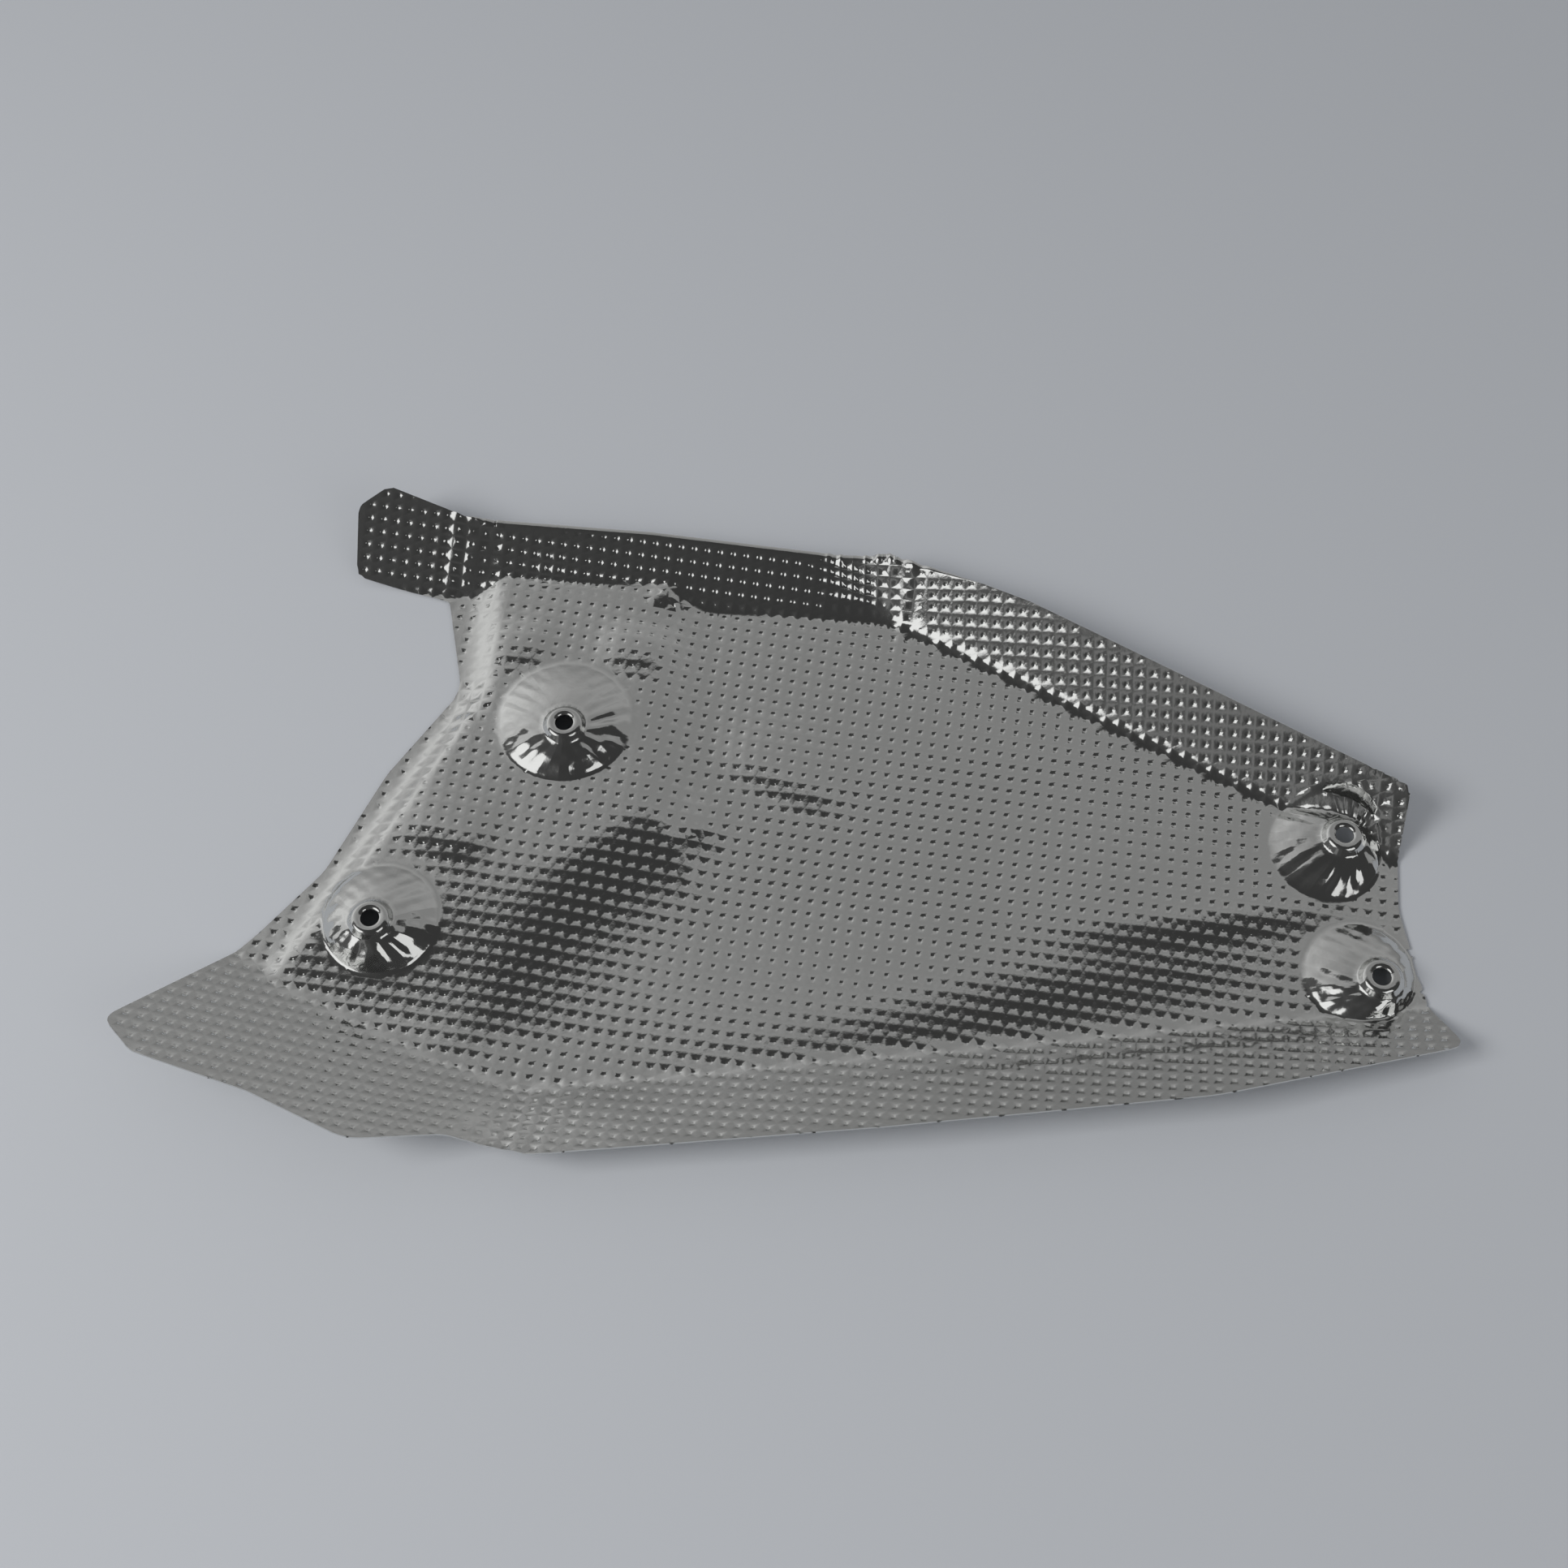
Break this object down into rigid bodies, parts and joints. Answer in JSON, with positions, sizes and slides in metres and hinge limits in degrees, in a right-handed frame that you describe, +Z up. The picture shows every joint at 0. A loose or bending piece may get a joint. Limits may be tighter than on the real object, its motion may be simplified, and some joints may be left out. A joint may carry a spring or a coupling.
{
  "type": "fairing heat shield",
  "caption": "Thin pressed aluminium heat shield with an embossed dimple pattern, raised flanges, a stepped deck and hollow mounting bosses, for the inside of a motorbike fairing.",
  "frame": {"origin": "centre of the plan outline, on the underside of the flat floor", "axes": "+X along the shield towards its narrow end, +Y towards the tall back wall, +Z up, the side the bosses stand out of"},
  "size_m": [0.3628, 0.2128, 0.0236],
  "materials": {
    "sheet": "bright, embossed"
  },
  "bodies": {
    "root": {"heat_shield": "sheet"}
  },
  "joints": []
}
